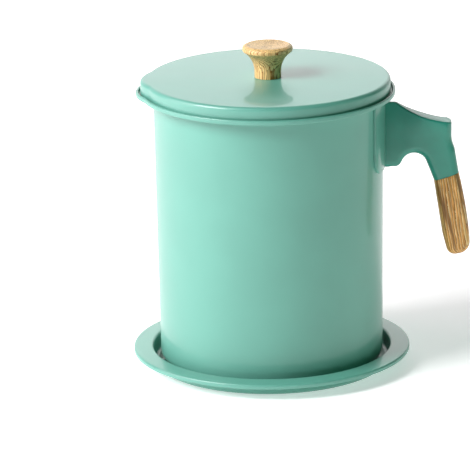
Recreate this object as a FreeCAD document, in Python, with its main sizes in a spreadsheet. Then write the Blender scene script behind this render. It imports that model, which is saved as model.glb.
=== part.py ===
import FreeCAD, Part
import math
import os
import Sketcher
from FreeCAD import Placement, Rotation, Vector

# Bacon grease container: a lidded steel pot with a side handle, standing in a shallow tray.
# The frame's origin is on the pot's axis at the table, +Z is up and +X points to the handle.
# The pouring nose is opposite the handle, on -X. Lengths are in millimetres, angles in degrees.

SIZES = {
    # tray: a pressed dish with a flat flange and a lip rolled down at its edge
    "tray_lip_radius": 70.0,
    "tray_lip_width": 1.2,
    "tray_lip_depth": 2.3,
    "tray_lip_round": 0.95,
    "tray_lip_end_round": 0.5,
    "tray_sheet": 1.0,
    "tray_well_gap": 3.7,
    "tray_height": 9.2,
    "tray_flange_fall": 0.4,
    "tray_corner_round": 3.0,
    "tray_edge_round": 1.5,
    # pot: a drawn cup, a little wider at its mouth, on a shallow foot ring
    "pot_sheet": 0.7,
    "pot_height": 139.3,
    "pot_mouth_radius": 57.6,
    "pot_base_radius": 56.3,
    "pot_corner_round": 7.0,
    "foot_width": 11.3,
    "foot_rise": 0.8,
    # rim: a ledge around the mouth with an upstanding rolled edge and a pouring nose
    "ledge_sheet": 0.8,
    "ledge_round": 1.2,
    "rim_reach": 6.1,
    "rim_width": 1.4,
    "rim_rise": 1.7,
    "rim_round": 0.6,
    "nose_reach": 2.6,
    "nose_setback": 36.0,
    "nose_blend": 12.0,
    # handle bracket: a saddle plate on the wall with a tongue that carries the arm
    "bracket_sheet": 1.0,
    "bracket_angle": 50.0,
    "bracket_drop": 3.0,
    "bracket_rise": 0.9,
    "bracket_corner_round": 9.0,
    "weld_gap": 0.1,
    "tongue_reach": 6.2,
    "tongue_width": 5.4,
    "tongue_thickness": 2.5,
    "tongue_rise": 4.7,
    # handle arm: corners of its side profile, outwards from the bracket and down from the ledge;
    # the column over the grip is measured from the grip's axis, and its flare from its waist
    "arm_width": 11.0,
    "arm_top_drop": 6.1,
    "arm_foot_drop": 39.5,
    "toe_out": 5.5,
    "toe_round": 5.8,
    "arch_out": 15.2,
    "arch_drop": 23.3,
    "arch_round": 6.5,
    "flare_swell": 1.7,
    "flare_fall": 4.7,
    "flare_round": 6.0,
    "waist_reach": 2.6,
    "waist_drop": 26.0,
    "waist_round": 12.0,
    "brow_reach": 2.7,
    "brow_drop": 16.1,
    "brow_round": 1.8,
    "top_hollow": 57.0,
    "crest_out": 5.5,
    "crest_round": 3.0,
    # the arm's flanks: thin at the ridge by the pot, fuller outwards and downwards
    "ridge_half_width": 1.6,
    "ridge_out": 6.0,
    "flank_end_out": 25.5,
    "flank_end_half_width": 5.2,
    "flank_swell": 75.0,
    "flank_tilt": 5.0,
    "fit_gap": 0.15,
    "loose_gap": 0.3,
    # grip: a wooden sleeve in a frame of its own, tilted outwards, on the arm's tang
    "grip_out": 30.6,
    "grip_drop": 45.4,
    "grip_tilt": 8.1,
    "grip_thickness": 12.9,
    "grip_width": 11.6,
    "grip_length": 40.2,
    "grip_swell": 180.0,
    "grip_end_round": 5.2,
    "grip_edge_round": 4.0,
    "seam_rise": 2.0,
    "seam_gap": 0.2,
    "tang_thickness": 5.6,
    "tang_width": 6.4,
    "tang_length": 24.0,
    # screws: one under the arm's foot, one in the grip's end, one under the lid
    "foot_screw_out": 3.4,
    "foot_screw_diameter": 3.0,
    "foot_screw_length": 10.5,
    "foot_head_diameter": 5.2,
    "foot_head_height": 2.0,
    "grip_screw_diameter": 3.0,
    "grip_screw_length": 24.0,
    "grip_head_diameter": 5.2,
    "grip_head_height": 2.0,
    "head_sink": 2.8,
    "knob_screw_diameter": 4.0,
    "knob_screw_length": 9.0,
    "knob_head_diameter": 8.0,
    "knob_head_height": 2.6,
    "handle_key_width": 2.0,
    "knob_key_width": 2.5,
    "key_socket_depth": 1.2,
    "screw_head_round": 0.9,
    "screw_tip_chamfer": 0.7,
    "screw_tip_room": 1.0,
    "bore_gap": 0.05,
    # lid: a flat pressed cover whose skirt stands on the ledge inside the rim
    "lid_sheet": 0.7,
    "lid_height": 7.7,
    "lid_clearance": 0.9,
    "lid_edge_round": 2.0,
    # knob: turned wood with a trumpet neck and a dished top, on a brass insert
    "knob_base_diameter": 13.4,
    "knob_straight": 3.0,
    "knob_neck_round": 12.3,
    "knob_shoulder_radius": 12.0,
    "knob_shoulder_height": 13.3,
    "knob_shoulder_round": 1.8,
    "knob_brow_round": 2.2,
    "knob_diameter": 25.2,
    "knob_widest_height": 15.0,
    "knob_crest_radius": 10.8,
    "knob_height": 16.7,
    "knob_dish_depth": 0.9,
    "insert_diameter": 7.0,
    "insert_length": 9.0,
    "insert_room": 1.5,
    "washer_diameter": 12.0,
    "washer_thickness": 1.0,
    # strainer: a flanged cup whose perforated screen lies on a lip under a pressed-in ring
    "strainer_sheet": 0.6,
    "strainer_flange_gap": 0.4,
    "strainer_wall_gap": 1.0,
    "strainer_taper": 0.7,
    "strainer_depth": 24.0,
    "strainer_lip": 4.0,
    "strainer_corner_round": 1.6,
    "screen_sheet": 0.5,
    "screen_gap": 0.9,
    "hole_diameter": 4.4,
    "hole_pitch": 8.6,
    "ring_height": 1.8,
    "ring_width": 2.6,
    "ring_gap": 0.3,
}

HOLE_RINGS = 5
HOLES_PER_RING_STEP = 6
TOLERANCE = 0.01


class Bound:
    """A length together with the spreadsheet expression that gives it."""

    def __init__(self, value, text):
        self.value = float(value)
        self.text = text

    def combine(self, other, sign, value):
        text = other.text if isinstance(other, Bound) else repr(float(other))
        return Bound(value, f"({self.text} {sign} {text})")

    def __add__(self, other):
        return self.combine(other, "+", self.value + number(other))

    def __sub__(self, other):
        return self.combine(other, "-", self.value - number(other))

    def __mul__(self, other):
        return self.combine(other, "*", self.value * number(other))

    def __truediv__(self, other):
        return self.combine(other, "/", self.value / number(other))

    def __neg__(self):
        return Bound(-self.value, f"(-{self.text})")


def number(value):
    return value.value if isinstance(value, Bound) else float(value)


def sine(angle):
    return Bound(math.sin(math.radians(angle.value)), f"sin({angle.text} * 1 deg)")


def cosine(angle):
    return Bound(math.cos(math.radians(angle.value)), f"cos({angle.text} * 1 deg)")


ZERO = Bound(0.0, "0")
HEXAGON_HALF_SIDE = Bound(30.0, "30")


class Sizes:
    """The driving dimensions, each an aliased cell of the document's spreadsheet."""

    def __init__(self, document):
        sheet = document.addObject("Spreadsheet::Sheet", "Sizes")
        for row, (alias, value) in enumerate(SIZES.items(), 1):
            sheet.set(f"A{row}", alias)
            sheet.set(f"B{row}", str(value))
            sheet.setAlias(f"B{row}", alias)
            setattr(self, alias, Bound(value, f"Sizes.{alias}"))
        document.recompute()


doc = FreeCAD.newDocument("GreaseContainer")
S = Sizes(doc)

# Levels above the table and radii from the axis.
pot_floor = S.tray_sheet
ledge_top = pot_floor + S.pot_height
ledge_bottom = ledge_top - S.ledge_sheet
rim_top = ledge_top + S.rim_rise
rim_radius = S.pot_mouth_radius + S.rim_reach
rim_inner_radius = rim_radius - S.rim_width
lid_radius = rim_inner_radius - S.lid_clearance
lid_top = ledge_top + S.lid_height
lid_under = lid_top - S.lid_sheet
flange_radius = lid_radius - S.lid_sheet - S.strainer_flange_gap
strainer_radius = S.pot_mouth_radius - S.pot_sheet - S.strainer_wall_gap
strainer_low_radius = strainer_radius - S.strainer_taper
strainer_floor = ledge_top - S.strainer_depth
arm_foot = ledge_top - S.arm_foot_drop
tongue_bottom = arm_foot + S.tongue_rise
tongue_top = tongue_bottom + S.tongue_thickness


def wall_radius(level):
    """The outside radius of the pot's tapered wall at a level above the table."""
    taper = (S.pot_mouth_radius - S.pot_base_radius) / S.pot_height
    return S.pot_base_radius + taper * (level - pot_floor)


def bracket_face_radius(level):
    return wall_radius(level) + S.weld_gap + S.bracket_sheet


# The handle is measured from the bracket's face where its tongue stands.
handle_face = bracket_face_radius(tongue_top)
foot_screw_x = handle_face + S.foot_screw_out


def out_and_down(out, drop):
    """A point of the handle, outwards from the bracket and down from the ledge."""
    return handle_face + out, ledge_top - drop


def grip_point(across, along):
    """A point of the grip's tilted frame, in the handle's plane."""
    origin_x, origin_z = out_and_down(S.grip_out, S.grip_drop)
    x = origin_x + cosine(S.grip_tilt) * across - sine(S.grip_tilt) * along
    z = origin_z + sine(S.grip_tilt) * across + cosine(S.grip_tilt) * along
    return x, z


# --- helpers that make bodies, sketches and features -------------------------------------------

def new_body(label):
    body = doc.addObject("PartDesign::Body", label)
    body.Label = label
    return body


def new_sketch(body, name, plane, offset=ZERO):
    """An empty sketch on one of the body's own planes, or at an offset above it."""
    sketch = body.newObject("Sketcher::SketchObject", name)
    planes = [item for item in body.Origin.OriginFeatures if item.Role == plane]
    sketch.AttachmentSupport = [(planes[0], "")]
    sketch.MapMode = "FlatFace"
    if offset is not ZERO:
        sketch.AttachmentOffset = Placement(Vector(0, 0, offset.value), Rotation())
        sketch.setExpression("AttachmentOffset.Base.z", offset.text)
    return sketch


def tilt_into_grip_frame(sketch):
    """Move a sketch of the handle's plane into the grip's tilted frame."""
    origin_x, origin_z = out_and_down(S.grip_out, S.grip_drop)
    turn = Rotation(Vector(0, 0, 1), S.grip_tilt.value)
    sketch.AttachmentOffset = Placement(Vector(origin_x.value, origin_z.value, 0), turn)
    sketch.setExpression("AttachmentOffset.Base.x", origin_x.text)
    sketch.setExpression("AttachmentOffset.Base.y", origin_z.text)
    sketch.setExpression("AttachmentOffset.Rotation.Angle", f"{S.grip_tilt.text} * 1 deg")


def constrain(sketch, size, kind, *geometry):
    index = sketch.addConstraint(Sketcher.Constraint(kind, *geometry, size.value))
    sketch.setExpression(f"Constraints[{index}]", size.text)


def arc_between(start, end, bend):
    """The short arc from start to end; a positive bend turns left, a negative one right."""
    radius = abs(bend)
    half = (end - start).multiply(0.5)
    rise = math.sqrt(max(radius ** 2 - half.Length ** 2, 0.0))
    side = 1.0 if bend > 0 else -1.0
    left = Vector(-half.y, half.x, 0).normalize()
    centre = start + half + left * (rise * side)
    first, last = (start, end) if bend > 0 else (end, start)
    angles = [math.atan2(point.y - centre.y, point.x - centre.x) for point in (first, last)]
    return Part.ArcOfCircle(Part.Circle(centre, Vector(0, 0, 1), radius), *angles)


def draw_outline(sketch, corners):
    """A closed outline, each corner bound to the sizes.

    A corner is (x, y), or (x, y, bend) where the side that leaves it is an arc: the bend is the
    arc's radius, positive where the outline swells and negative where it is hollow. The corners
    run anticlockwise.
    """
    points = [Vector(corner[0].value, corner[1].value, 0) for corner in corners]
    ends = []
    for index, corner in enumerate(corners):
        start = points[index]
        end = points[(index + 1) % len(points)]
        if len(corner) == 2:
            side = sketch.addGeometry(Part.LineSegment(start, end))
            ends.append((side, 1, 2))
            continue
        bend = corner[2]
        side = sketch.addGeometry(arc_between(start, end, bend.value))
        ends.append((side, 1, 2) if bend.value > 0 else (side, 2, 1))
    for index, (side, near, far) in enumerate(ends):
        following, start_point, _ = ends[(index + 1) % len(ends)]
        sketch.addConstraint(Sketcher.Constraint("Coincident", side, far, following, start_point))
    for (side, near, _), corner in zip(ends, corners):
        constrain(sketch, corner[0], "DistanceX", -1, 1, side, near)
        constrain(sketch, corner[1], "DistanceY", -1, 1, side, near)
        if len(corner) == 3:
            bend = corner[2]
            radius = bend if bend.value > 0 else -bend
            constrain(sketch, radius, "Radius", side)


def draw_circle(sketch, radius, x=ZERO, y=ZERO):
    circle = Part.Circle(Vector(x.value, y.value, 0), Vector(0, 0, 1), radius.value)
    side = sketch.addGeometry(circle)
    constrain(sketch, x, "DistanceX", -1, 1, side, 3)
    constrain(sketch, y, "DistanceY", -1, 1, side, 3)
    constrain(sketch, radius, "Radius", side)


def nose_radius_at(radius):
    return radius + S.nose_reach - S.nose_setback


def blend_radius_at(radius):
    return S.nose_blend + rim_radius - radius


def draw_nose_outline(sketch, radius):
    """The rim's plan at a given radius: a circle drawn out into a blunt nose on -X.

    The nose is an arc about a point set back from the axis, with a hollow blend on each side.
    Outlines of different radius stay parallel, so their blends share their centres too.
    """
    nose_radius = nose_radius_at(radius)
    blend_radius = blend_radius_at(radius)
    to_blend = radius.value + blend_radius.value
    nose_to_blend = nose_radius.value + blend_radius.value
    setback = S.nose_setback.value
    lean = math.acos((to_blend ** 2 + setback ** 2 - nose_to_blend ** 2) / (2 * to_blend * setback))
    blend = Vector(-to_blend * math.cos(lean), to_blend * math.sin(lean), 0)
    nose = Vector(-setback, 0, 0)
    up = Vector(0, 0, 1)
    away = math.pi - lean
    to_nose = math.atan2(nose.y - blend.y, nose.x - blend.x)
    wide = math.atan2(blend.y - nose.y, blend.x - nose.x)
    lower = Vector(blend.x, -blend.y, 0)

    main = Part.ArcOfCircle(Part.Circle(Vector(), up, radius.value), -away, away)
    upper_blend = Part.ArcOfCircle(Part.Circle(blend, up, blend_radius.value), to_nose, -lean)
    tip = Part.ArcOfCircle(Part.Circle(nose, up, nose_radius.value), wide, -wide)
    lower_blend = Part.ArcOfCircle(Part.Circle(lower, up, blend_radius.value), lean, -to_nose)
    sides = [sketch.addGeometry(arc) for arc in (main, upper_blend, tip, lower_blend)]
    main, upper_blend, tip, lower_blend = sides
    joins = (
        (main, 2, upper_blend, 2),
        (upper_blend, 1, tip, 1),
        (tip, 2, lower_blend, 2),
        (lower_blend, 1, main, 1),
    )
    for join in joins:
        sketch.addConstraint(Sketcher.Constraint("Tangent", *join))
    sketch.addConstraint(Sketcher.Constraint("Coincident", main, 3, -1, 1))
    sketch.addConstraint(Sketcher.Constraint("PointOnObject", tip, 3, -1))
    constrain(sketch, -S.nose_setback, "DistanceX", -1, 1, tip, 3)
    constrain(sketch, radius, "Radius", main)
    constrain(sketch, nose_radius, "Radius", tip)
    constrain(sketch, blend_radius, "Radius", upper_blend)
    constrain(sketch, blend_radius, "Radius", lower_blend)


def profile_feature(body, kind, name, sketch, **settings):
    """Add a feature that is made from a sketch, and check that it came out."""
    feature = body.newObject(f"PartDesign::{kind}", name)
    feature.Profile = sketch
    for setting, value in settings.items():
        if isinstance(value, Bound):
            feature.setExpression(setting, value.text)
        else:
            setattr(feature, setting, value)
    sketch.Visibility = False
    doc.recompute()
    return feature


def revolve(body, name, corners, kind="Revolution"):
    """Turn an outline in the XZ plane once around the Z axis."""
    sketch = new_sketch(body, f"{name}_profile", "XZ_Plane")
    draw_outline(sketch, corners)
    axis = (sketch, ["V_Axis"])
    return profile_feature(body, kind, name, sketch, ReferenceAxis=axis, Angle=360.0)


def extrude_across(body, name, corners, width, kind="Pad", in_grip_frame=False):
    """Extrude an outline of the handle's plane evenly to both sides of it."""
    sketch = new_sketch(body, f"{name}_profile", "XZ_Plane")
    if in_grip_frame:
        tilt_into_grip_frame(sketch)
    draw_outline(sketch, corners)
    return profile_feature(body, kind, name, sketch, SideType="Symmetric", Length=width)


def pad_up(body, name, level, height, *draw):
    sketch = new_sketch(body, f"{name}_plan", "XY_Plane", level)
    for step in draw:
        step(sketch)
    return profile_feature(body, "Pad", name, sketch, Length=height)


def pocket(body, name, level, depth, *draw, upwards=False):
    sketch = new_sketch(body, f"{name}_plan", "XY_Plane", level)
    for step in draw:
        step(sketch)
    before = body.Tip.Shape.Volume
    cut = profile_feature(body, "Pocket", name, sketch, Length=depth, Reversed=upwards)
    if not cut.Shape.Volume < before:
        raise ValueError(f"{name} cuts nothing")
    return cut


def round_edges(body, name, radius, wanted):
    """Round every edge of the body that the test picks."""
    base = body.Tip
    names = [f"Edge{index}" for index, edge in enumerate(base.Shape.Edges, 1) if wanted(edge)]
    if not names:
        raise ValueError(f"{name} finds no edge")
    feature = body.newObject("PartDesign::Fillet", name)
    feature.Base = (base, names)
    feature.setExpression("Radius", radius.text)
    doc.recompute()
    return feature


def ring(radius, level):
    """Picks the round edge about the axis at a radius and a level."""
    def wanted(edge):
        if not isinstance(edge.Curve, Part.Circle):
            return False
        centre = edge.Curve.Center
        on_axis = math.hypot(centre.x, centre.y) < TOLERANCE
        at_level = abs(centre.z - number(level)) < TOLERANCE
        return on_axis and at_level and abs(edge.Curve.Radius - number(radius)) < TOLERANCE
    return wanted


def nose_edges(radius, level):
    """Picks the four edges of a nose outline at a radius and a level."""
    main = (number(radius), 0.0)
    tip = (number(nose_radius_at(radius)), S.nose_setback.value)
    blend = (number(blend_radius_at(radius)), number(radius) + number(blend_radius_at(radius)))

    def wanted(edge):
        if not isinstance(edge.Curve, Part.Circle) or edge.BoundBox.ZLength > TOLERANCE:
            return False
        centre = edge.Curve.Center
        shape = (edge.Curve.Radius, math.hypot(centre.x, centre.y))
        known = any(math.dist(shape, arc) < TOLERANCE for arc in (main, tip, blend))
        return known and abs(centre.z - number(level)) < TOLERANCE
    return wanted


def across(x, z):
    """Picks the edge that crosses the handle's plane at a point."""
    def wanted(edge):
        box = edge.BoundBox
        away = math.hypot(box.Center.x - x.value, box.Center.z - z.value)
        return box.YLength > TOLERANCE and away < TOLERANCE
    return wanted


def disc(radius):
    return lambda sketch: draw_circle(sketch, radius)


def nose(radius):
    return lambda sketch: draw_nose_outline(sketch, radius)


# --- tray ---------------------------------------------------------------------------------------

def make_tray():
    """A pressed dish: flat floor, upright wall, flat flange and a lip rolled down."""
    body = new_body("tray")
    sheet = S.tray_sheet
    well = S.pot_base_radius + S.tray_well_gap
    outer_wall = well + sheet
    lip_top = S.tray_height - S.tray_flange_fall
    lip_inner = S.tray_lip_radius - S.tray_lip_width
    revolve(body, "tray_dish", [
        (ZERO, ZERO),
        (outer_wall, ZERO),
        (outer_wall, S.tray_height - sheet),
        (lip_inner, lip_top - sheet),
        (lip_inner, lip_top - S.tray_lip_depth),
        (S.tray_lip_radius, lip_top - S.tray_lip_depth),
        (S.tray_lip_radius, lip_top),
        (well, S.tray_height),
        (well, sheet),
        (ZERO, sheet),
    ])
    corner_outside = S.tray_corner_round + sheet
    round_edges(body, "tray_corner_outside", corner_outside, ring(outer_wall, ZERO))
    round_edges(body, "tray_corner_inside", S.tray_corner_round, ring(well, sheet))
    round_edges(body, "tray_flange_edge", S.tray_edge_round, ring(well, S.tray_height))
    round_edges(body, "tray_lip_roll", S.tray_lip_round, ring(S.tray_lip_radius, lip_top))
    round_edges(body, "tray_lip_end", S.tray_lip_end_round,
                ring(S.tray_lip_radius, lip_top - S.tray_lip_depth))
    return body


# --- pot and bracket ----------------------------------------------------------------------------

def make_pot_body():
    """The drawn cup with its foot ring, ledge, upstanding rim and pouring nose."""
    body = new_body("pot_body")
    sheet = S.pot_sheet
    recess = S.pot_base_radius - S.foot_width
    foot_level = pot_floor + S.foot_rise
    revolve(body, "cup", [
        (ZERO, foot_level),
        (recess, foot_level),
        (recess + S.foot_rise, pot_floor),
        (S.pot_base_radius, pot_floor),
        (S.pot_mouth_radius, ledge_top),
        (S.pot_mouth_radius - sheet, ledge_top),
        (S.pot_base_radius - sheet, pot_floor + sheet),
        (recess + S.foot_rise, pot_floor + sheet),
        (recess, foot_level + sheet),
        (ZERO, foot_level + sheet),
    ])
    round_edges(body, "base_corner_outside", S.pot_corner_round,
                ring(S.pot_base_radius, pot_floor))
    round_edges(body, "base_corner_inside", S.pot_corner_round - sheet,
                ring(S.pot_base_radius - sheet, pot_floor + sheet))

    # The ledge grows out of the middle of the wall, and its hollow leaves the upstanding rim.
    wall_middle = S.pot_mouth_radius - sheet / 2
    pad_up(body, "rim_block", ledge_bottom, S.ledge_sheet + S.rim_rise,
           nose(rim_radius), disc(wall_middle))
    pocket(body, "rim_hollow", rim_top, S.rim_rise, nose(rim_inner_radius))

    round_edges(body, "rim_top_outside", S.rim_round, nose_edges(rim_radius, rim_top))
    round_edges(body, "rim_top_inside", S.rim_round, nose_edges(rim_inner_radius, rim_top))
    round_edges(body, "rim_bottom", S.rim_round, nose_edges(rim_radius, ledge_bottom))
    round_edges(body, "ledge_underside", S.ledge_round,
                ring(wall_radius(ledge_bottom), ledge_bottom))
    return body


def make_handle_bracket():
    """A plate bent to the wall, with rounded lower corners and a tongue with a screw hole."""
    body = new_body("handle_bracket")
    top = ledge_top - S.bracket_drop
    bottom = arm_foot + S.bracket_rise
    sketch = new_sketch(body, "saddle_profile", "XZ_Plane")
    draw_outline(sketch, [
        (wall_radius(bottom) + S.weld_gap, bottom),
        (bracket_face_radius(bottom), bottom),
        (bracket_face_radius(top), top),
        (wall_radius(top) + S.weld_gap, top),
    ])
    profile_feature(body, "Revolution", "saddle", sketch, ReferenceAxis=(sketch, ["V_Axis"]),
                    Angle=S.bracket_angle, Midplane=True)

    def lower_corner(edge):
        straight = isinstance(edge.Curve, Part.Line)
        return straight and edge.BoundBox.ZMax < bottom.value + TOLERANCE
    round_edges(body, "saddle_corners", S.bracket_corner_round, lower_corner)

    root = handle_face - S.bracket_sheet / 2
    tip = handle_face + S.tongue_reach
    extrude_across(body, "tongue", [
        (root, tongue_bottom),
        (tip, tongue_bottom),
        (tip, tongue_top),
        (root, tongue_top),
    ], S.tongue_width)
    bore = S.foot_screw_diameter / 2 + S.bore_gap
    pocket(body, "tongue_hole", tongue_top, S.tongue_thickness,
           lambda sketch: draw_circle(sketch, bore, foot_screw_x))
    return body


# --- handle -------------------------------------------------------------------------------------

def make_handle_arm():
    """The moulded arm: foot, arch over the fingers, elbow, and a tang for the grip."""
    body = new_body("handle_arm")
    half_grip = S.grip_thickness / 2
    top_z = ledge_top - S.arm_top_drop
    root_x = wall_radius(arm_foot) - S.pot_sheet
    toe = (handle_face + S.toe_out, arm_foot)
    arch = out_and_down(S.arch_out, S.arch_drop)
    waist_out = S.grip_out + S.waist_reach
    flare = out_and_down(waist_out + S.flare_swell, S.waist_drop + S.flare_fall)
    waist = out_and_down(waist_out, S.waist_drop)
    brow = out_and_down(S.grip_out + S.brow_reach, S.brow_drop)
    crest = (handle_face + S.crest_out, top_z)
    extrude_across(body, "arm", [
        (root_x, arm_foot),
        toe,
        arch,
        grip_point(-half_grip, S.seam_gap),
        grip_point(half_grip, S.seam_gap + S.seam_rise),
        flare,
        waist,
        (*brow, -S.top_hollow),
        crest,
        (root_x, top_z),
    ], S.arm_width)
    round_edges(body, "toe_bend", S.toe_round, across(*toe))
    round_edges(body, "arch_bend", S.arch_round, across(*arch))
    round_edges(body, "flare_bend", S.flare_round, across(*flare))
    round_edges(body, "waist_bend", S.waist_round, across(*waist))
    round_edges(body, "crest_bend", S.crest_round, across(*crest))

    # The grip's edge rounds run on up the column and under the arch; the top stays crisp.
    half_width = S.arm_width.value / 2
    seam_x = grip_point(ZERO, ZERO)[0].value

    def side_edge(edge):
        box = edge.BoundBox
        on_side = abs(abs(box.Center.y) - half_width) < TOLERANCE and box.YLength < TOLERANCE
        outer = box.Center.x > seam_x and box.XLength < box.ZLength
        under = box.Center.x < seam_x and box.Center.z < arch[1].value
        return on_side and (outer or under) and box.XMax > root_x.value + TOLERANCE
    round_edges(body, "side_edges", S.grip_edge_round, side_edge)
    round_edges(body, "brow_bend", S.brow_round, across(*brow))
    trim_flanks(body, root_x, top_z)

    # The foot is hollowed to bear on the bent bracket.
    revolve(body, "foot_seat", [
        (ZERO, pot_floor),
        (bracket_face_radius(pot_floor), pot_floor),
        (bracket_face_radius(ledge_top), ledge_top),
        (ZERO, ledge_top),
    ], kind="Groove")

    half_tang = S.tang_thickness / 2
    tang_root = S.seam_gap + S.seam_rise
    extrude_across(body, "tang", [
        (-half_tang, -S.tang_length),
        (half_tang, -S.tang_length),
        (half_tang, tang_root),
        (-half_tang, tang_root),
    ], S.tang_width, in_grip_frame=True)

    cut_tongue_slot(body, root_x)
    cut_foot_screw_hole(body)
    cut_tang_screw_hole(body)
    return body


def trim_flanks(body, root_x, top_z):
    """Pare both flanks to a ridge by the pot with cuts that lean outwards as they go down."""
    sketch = new_sketch(body, "flank_plan", "XY_Plane", top_z)
    lean = Rotation(Vector(1, 0, 0), S.flank_tilt.value)
    sketch.AttachmentOffset = Placement(Vector(0, 0, top_z.value), lean)
    sketch.setExpression("AttachmentOffset.Rotation.Angle", f"{S.flank_tilt.text} * 1 deg")
    flank_end = handle_face + S.flank_end_out
    draw_outline(sketch, [
        (root_x, S.ridge_half_width),
        (handle_face + S.ridge_out, S.ridge_half_width, -S.flank_swell),
        (flank_end, S.flank_end_half_width),
        (flank_end, S.arm_width),
        (root_x, S.arm_width),
    ])
    before = body.Tip.Shape.Volume
    cut = profile_feature(body, "Pocket", "flank", sketch, Type="ThroughAll")
    mirrored = body.newObject("PartDesign::Mirrored", "flanks")
    mirrored.Originals = [cut]
    planes = [item for item in body.Origin.OriginFeatures if item.Role == "XZ_Plane"]
    mirrored.MirrorPlane = (planes[0], [""])
    body.Tip = mirrored
    doc.recompute()
    if not mirrored.Shape.Volume < cut.Shape.Volume < before:
        raise ValueError("flank cuts nothing")


def cut_tongue_slot(body, root_x):
    """The slot in the foot that slides over the bracket's tongue."""
    top = tongue_top + S.fit_gap
    bottom = tongue_bottom - S.fit_gap
    end = handle_face + S.tongue_reach + S.fit_gap
    extrude_across(body, "tongue_slot", [
        (root_x, bottom),
        (end, bottom),
        (end, top),
        (root_x, top),
    ], S.tongue_width + S.fit_gap * 2, kind="Pocket")


def cut_foot_screw_hole(body):
    """A counterbored hole from under the foot, up through the slot."""
    shank = S.foot_screw_diameter / 2 + S.fit_gap
    head = S.foot_head_diameter / 2 + S.loose_gap
    depth = S.head_sink + S.foot_screw_length + S.screw_tip_room
    pocket(body, "foot_screw_hole", arm_foot, depth,
           lambda sketch: draw_circle(sketch, shank, foot_screw_x), upwards=True)
    pocket(body, "foot_counterbore", arm_foot, S.head_sink,
           lambda sketch: draw_circle(sketch, head, foot_screw_x), upwards=True)


def grip_axis_bore(body, name, radius, start, end):
    """A round hole along the grip's axis, cut from one distance along it to another."""
    sketch = new_sketch(body, f"{name}_profile", "XZ_Plane")
    tilt_into_grip_frame(sketch)
    draw_outline(sketch, [(ZERO, start), (radius, start), (radius, end), (ZERO, end)])
    axis = (sketch, ["V_Axis"])
    return profile_feature(body, "Groove", name, sketch, ReferenceAxis=axis, Angle=360.0)


def cut_tang_screw_hole(body):
    screw_tip = S.head_sink + S.grip_screw_length - S.grip_length
    bore = S.grip_screw_diameter / 2 + S.bore_gap
    grip_axis_bore(body, "tang_screw_hole", bore, -S.tang_length, screw_tip + S.screw_tip_room)


def make_handle_grip():
    """The wooden sleeve: fuller outside, round at its end, with a socket for the tang."""
    body = new_body("handle_grip")
    half = S.grip_thickness / 2
    end = -S.grip_length
    extrude_across(body, "sleeve", [
        (-half, end),
        (half, end, S.grip_swell),
        (half, S.seam_rise),
        (-half, ZERO),
    ], S.grip_width, in_grip_frame=True)
    round_edges(body, "inner_end", S.grip_end_round, across(*grip_point(-half, end)))
    round_edges(body, "outer_end", S.grip_end_round, across(*grip_point(half, end)))

    half_width = S.grip_width.value / 2
    seam_z = grip_point(-half, ZERO)[1].value

    def long_edge(edge):
        box = edge.BoundBox
        on_side = abs(abs(box.Center.y) - half_width) < TOLERANCE and box.YLength < TOLERANCE
        return on_side and box.Center.z < seam_z
    round_edges(body, "sleeve_edges", S.grip_edge_round, long_edge)

    half_socket = S.tang_thickness / 2 + S.fit_gap
    socket_end = -S.tang_length - S.fit_gap
    extrude_across(body, "tang_socket", [
        (-half_socket, socket_end),
        (half_socket, socket_end),
        (half_socket, S.seam_rise),
        (-half_socket, S.seam_rise),
    ], S.tang_width + S.fit_gap * 2, kind="Pocket", in_grip_frame=True)
    shank = S.grip_screw_diameter / 2 + S.fit_gap
    head = S.grip_head_diameter / 2 + S.loose_gap
    grip_axis_bore(body, "end_screw_hole", shank, end, socket_end)
    grip_axis_bore(body, "end_counterbore", head, end, end + S.head_sink)
    return body


# --- screws -------------------------------------------------------------------------------------

def make_screw(label, shank_diameter, length, head_diameter, head_height, key_width):
    """A pan-head screw along +Z, with its head's seat at the origin and a socket in the head."""
    body = new_body(label)
    shank = shank_diameter / 2
    head = head_diameter / 2
    revolve(body, "screw", [
        (ZERO, -head_height),
        (head, -head_height),
        (head, ZERO),
        (shank, ZERO),
        (shank, length - S.screw_tip_chamfer),
        (shank - S.screw_tip_chamfer, length),
        (ZERO, length),
    ])
    round_edges(body, "head_edge", S.screw_head_round, ring(head, -head_height))
    pocket(body, "key_socket", -head_height, S.key_socket_depth,
           lambda sketch: draw_hexagon(sketch, key_width), upwards=True)
    return body


def draw_hexagon(sketch, across_flats):
    flat = across_flats / 2
    corner = flat / cosine(HEXAGON_HALF_SIDE)
    draw_outline(sketch, [
        (corner, ZERO),
        (corner / 2, flat),
        (-corner / 2, flat),
        (-corner, ZERO),
        (-corner / 2, -flat),
        (corner / 2, -flat),
    ])


def place(body, x, z, angle=ZERO):
    """Stand a piece at a point of the handle's plane, turned about Y."""
    spot = Placement(Vector(x.value, 0, z.value), Rotation(Vector(0, 1, 0), angle.value))
    body.Placement = spot
    body.setExpression("Placement.Base.x", x.text)
    body.setExpression("Placement.Base.z", z.text)
    if angle is not ZERO:
        body.setExpression("Placement.Rotation.Angle", f"{angle.text} * 1 deg")


def make_screws():
    foot_screw = make_screw("handle_screw", S.foot_screw_diameter, S.foot_screw_length,
                            S.foot_head_diameter, S.foot_head_height, S.handle_key_width)
    place(foot_screw, foot_screw_x, arm_foot + S.head_sink)
    grip_screw = make_screw("grip_screw", S.grip_screw_diameter, S.grip_screw_length,
                            S.grip_head_diameter, S.grip_head_height, S.handle_key_width)
    place(grip_screw, *grip_point(ZERO, S.head_sink - S.grip_length), -S.grip_tilt)
    knob_screw = make_screw("knob_screw", S.knob_screw_diameter, S.knob_screw_length,
                            S.knob_head_diameter, S.knob_head_height, S.knob_key_width)
    place(knob_screw, ZERO, lid_under - S.washer_thickness)
    return [foot_screw, grip_screw, knob_screw]


# --- lid ----------------------------------------------------------------------------------------

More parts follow.
